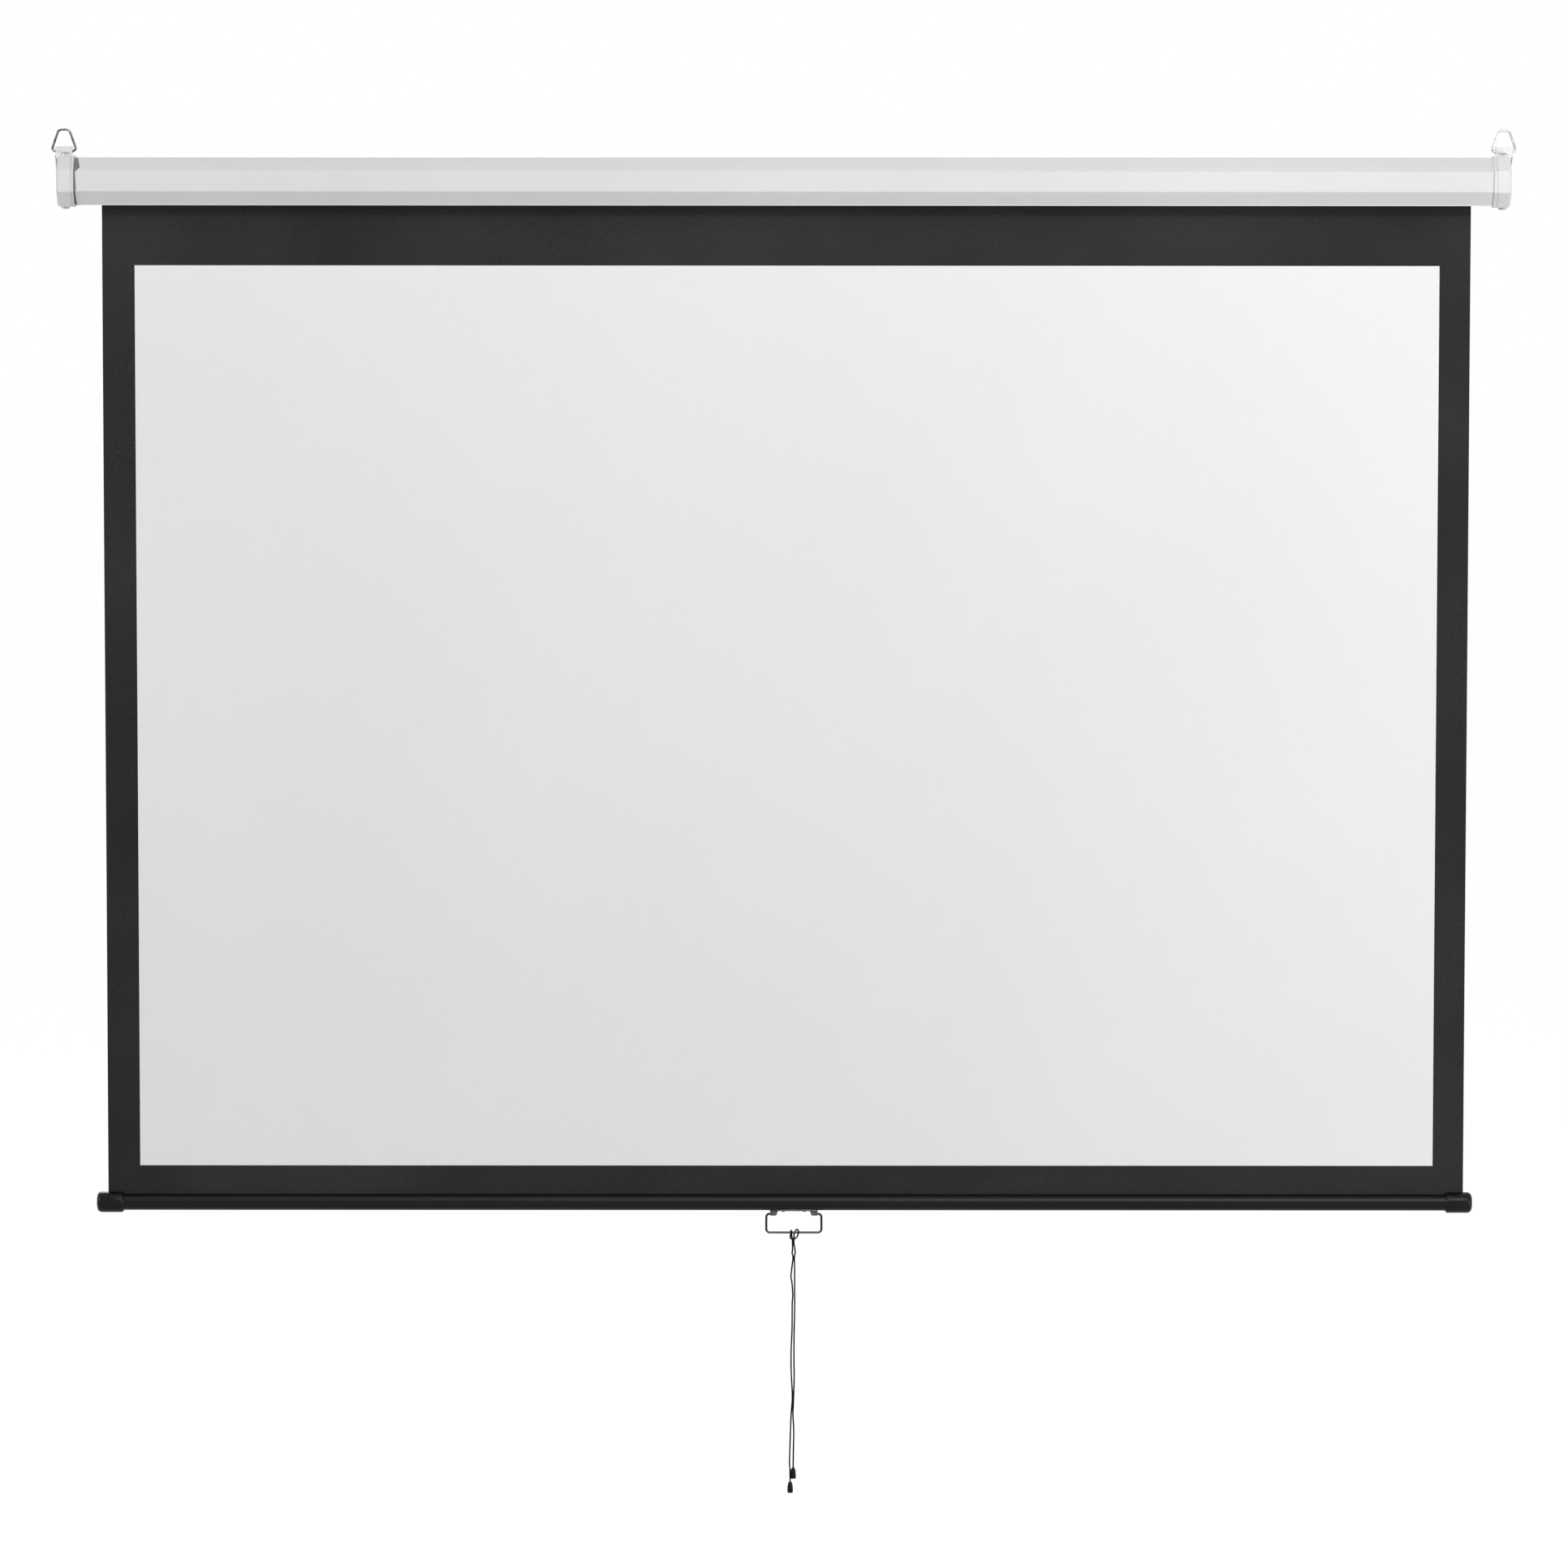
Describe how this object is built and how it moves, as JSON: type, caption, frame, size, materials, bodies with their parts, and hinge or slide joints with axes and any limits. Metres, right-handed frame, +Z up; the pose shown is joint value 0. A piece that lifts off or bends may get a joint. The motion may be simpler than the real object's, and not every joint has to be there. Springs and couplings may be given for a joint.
{
  "type": "pull-down projection screen",
  "caption": "Manual pull-down projection screen: spring roller in an octagonal casing with hanging rings, black-edged white fabric, weighted bottom bar, wire handle and pull cord.",
  "frame": {"origin": "centre of the casing's flat back panel, with the screen drawn fully out", "axes": "+X to the right of someone who faces the image, along the casing; +Y to the wall behind; +Z up"},
  "size_m": [2.1378, 0.075, 2.0128],
  "materials": {
    "powder_coat": "white powder coat, satin",
    "white_plastic": "moulded white plastic, satin",
    "bracket_white": "white paint on folded steel",
    "zinc": "zinc plated",
    "steel": "plain steel, oiled",
    "nickel": "nickel plated wire, bright",
    "dark_nickel": "black nickel plated wire, glossy",
    "nylon": "natural nylon",
    "black_fabric": "black coated cloth, matte",
    "white_fabric": "matte white projection surface",
    "black_paint": "black paint, satin",
    "black_plastic": "moulded black plastic, satin",
    "black_cord": "braided black cord"
  },
  "bodies": {
    "casing": {"casing_profile": "powder_coat", "left_end_cap": "white_plastic", "right_end_cap": "white_plastic", "left_bearing_plate": "zinc", "right_bearing_plate": "zinc", "idle_pin_bush": "nylon", "left_hanger_bracket": "bracket_white", "right_hanger_bracket": "bracket_white", "left_top_cap_screw": "zinc", "left_bottom_cap_screw": "zinc", "right_top_cap_screw": "zinc", "right_bottom_cap_screw": "zinc", "spring_shaft": "steel", "ratchet_disc": "steel", "torsion_spring": "steel", "screen_fabric": "black_fabric", "image_surface": "white_fabric"},
    "roller": {"roller_tube": "zinc", "wound_fabric": "black_fabric", "spring_end_plug": "nylon", "spring_anchor_plug": "nylon", "idle_end_plug": "nylon", "pawl_pin_1": "zinc", "pawl_pin_2": "zinc"},
    "upper_pawl": {"pawl_1": "steel"},
    "lower_pawl": {"pawl_2": "steel"},
    "bottom_bar": {"bar_tube": "black_paint", "fabric_spline": "nylon", "left_bar_cap": "black_plastic", "right_bar_cap": "black_plastic", "handle_clip": "zinc", "clip_rivet_1": "steel", "clip_rivet_2": "steel"},
    "handle": {"handle_bail": "dark_nickel"},
    "pull_cord": {"cord_hitch": "black_cord", "cord_strand_left": "black_cord", "cord_strand_right": "black_cord", "cord_bell_left": "black_plastic", "cord_bell_right": "black_plastic"},
    "left_ring": {"left_hang_ring": "nickel"},
    "right_ring": {"right_hang_ring": "nickel"}
  },
  "joints": [
    {"name": "screen_travel", "type": "slide", "parent": "casing", "child": "bottom_bar", "axis": [0, 0, 1], "range_m": [0, 1.459], "deforming": ["screen_fabric", "image_surface"]},
    {"name": "roller_spin", "type": "hinge", "parent": "casing", "child": "roller", "pos_m": [0, -0.041, 0], "axis": [1, 0, 0], "range_deg": [-1, 4325]},
    {"name": "upper_pawl_swing", "type": "hinge", "parent": "roller", "child": "upper_pawl", "pos_m": [-1.0449, -0.041, 0.0125], "axis": [1, 0, 0], "range_deg": [-12, 25]},
    {"name": "lower_pawl_swing", "type": "hinge", "parent": "roller", "child": "lower_pawl", "pos_m": [-1.0449, -0.041, -0.0125], "axis": [1, 0, 0], "range_deg": [-12, 25]},
    {"name": "handle_swing", "type": "hinge", "parent": "bottom_bar", "child": "handle", "pos_m": [0.0157, -0.02315, -1.5203], "axis": [1, 0, 0], "range_deg": [-120, 120]},
    {"name": "cord_swing", "type": "hinge", "parent": "handle", "child": "pull_cord", "pos_m": [0.015, -0.02315, -1.548], "axis": [1, 0, 0], "range_deg": [-121, 121]},
    {"name": "left_ring_swing", "type": "hinge", "parent": "casing", "child": "left_ring", "pos_m": [-1.0502, -0.03, 0.0435], "axis": [1, 0, 0], "range_deg": [-90, 90]},
    {"name": "right_ring_swing", "type": "hinge", "parent": "casing", "child": "right_ring", "pos_m": [1.0502, -0.03, 0.0435], "axis": [1, 0, 0], "range_deg": [-90, 90]}
  ],
  "couplings": [
    {"joint": "roller_spin", "follows": "screen_travel", "rad_per_m": 51.678},
    {"joint": "cord_swing", "follows": "handle_swing", "ratio": -1}
  ]
}
